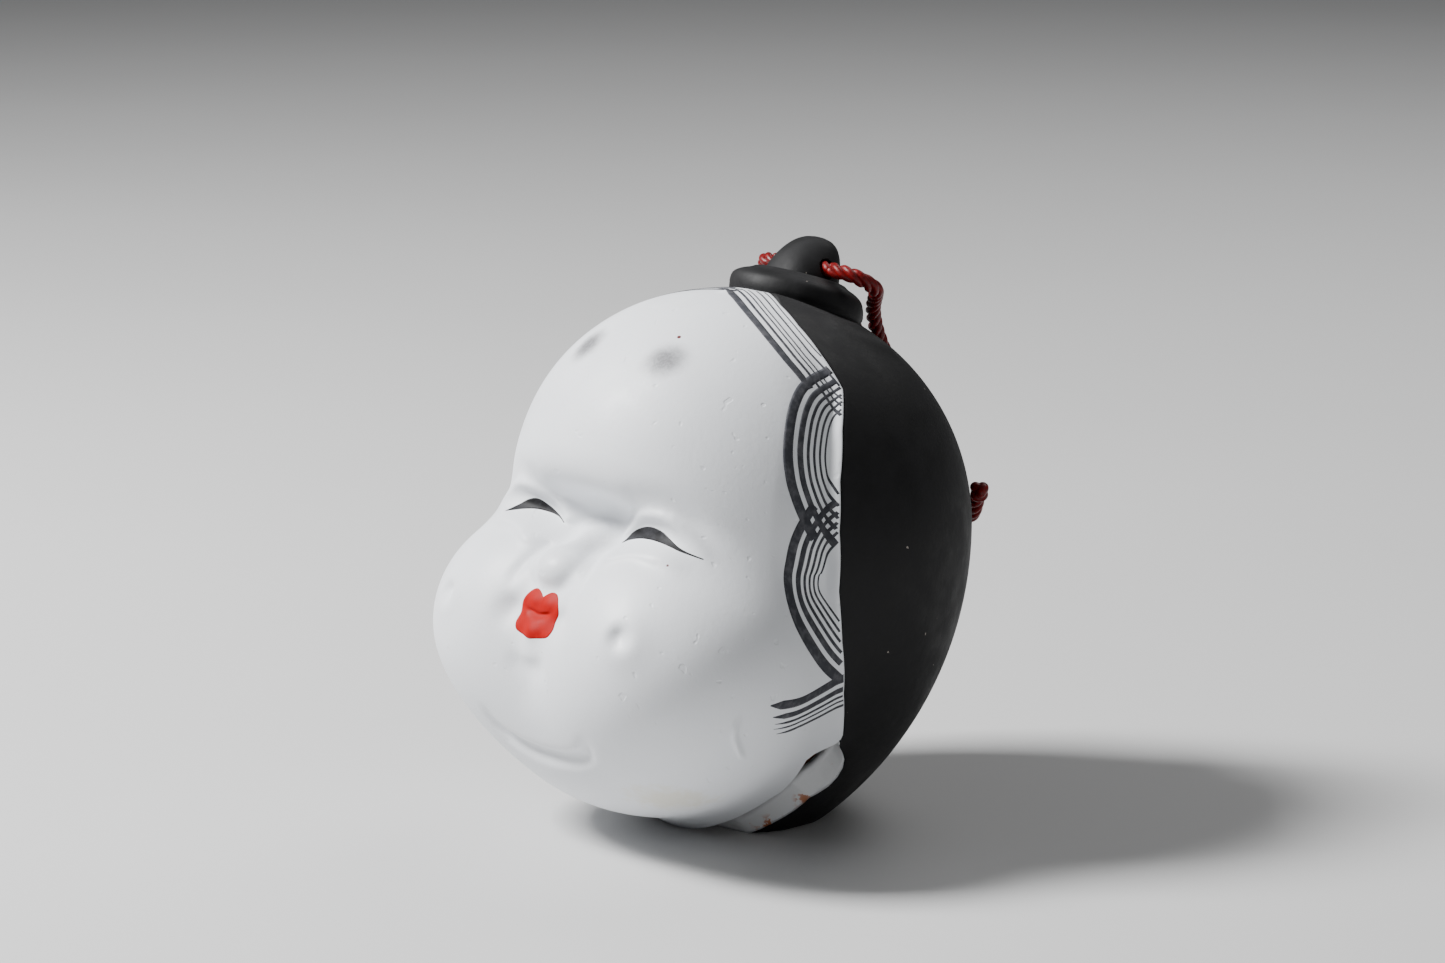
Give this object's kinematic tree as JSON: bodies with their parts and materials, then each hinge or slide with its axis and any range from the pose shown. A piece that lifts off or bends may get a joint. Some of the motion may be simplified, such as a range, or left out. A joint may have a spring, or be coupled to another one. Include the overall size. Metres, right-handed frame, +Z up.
{
  "type": "clay bell figurine",
  "caption": "Hollow fired-clay bell in the shape of a round smiling face with black hair and a topknot, a sound slit under the chin, a loose rattle pellet and a red hanging cord.",
  "frame": {"origin": "on the table, under the middle of the head", "axes": "+Z up, the face looks along -Y, +X is the face's own left"},
  "size_m": [0.061, 0.074, 0.0763],
  "materials": {
    "gofun_white": "matte chalk-white paint over fired clay",
    "hair_black": "matte black paint over fired clay",
    "pellet_clay": "bare fired clay",
    "cord_red": "glossy twisted silk"
  },
  "bodies": {
    "head": {"face_shell": "gofun_white", "back_shell": "hair_black", "slit_lip": "gofun_white", "topknot_roll": "hair_black", "topknot_bun": "hair_black"},
    "pellet": {"rattle_pellet": "pellet_clay"},
    "cord_loop": {"cord_in_bun": "cord_red", "cord_strand_left": "cord_red", "cord_strand_right": "cord_red", "cord_knot": "cord_red", "cord_tail_left": "cord_red", "cord_tail_right": "cord_red", "cord_end_left": "cord_red", "cord_end_right": "cord_red"}
  },
  "joints": [
    {"name": "pellet_roll", "type": "hinge", "parent": "head", "child": "pellet", "pos_m": [0, -0.005, 0.0209], "axis": [0, 1, 0], "range_deg": [-18, 18]},
    {"name": "cord_swing", "type": "hinge", "parent": "head", "child": "cord_loop", "pos_m": [0, 0.0149, 0.07209], "axis": [1, 0, 0], "range_deg": [0, 140]}
  ]
}
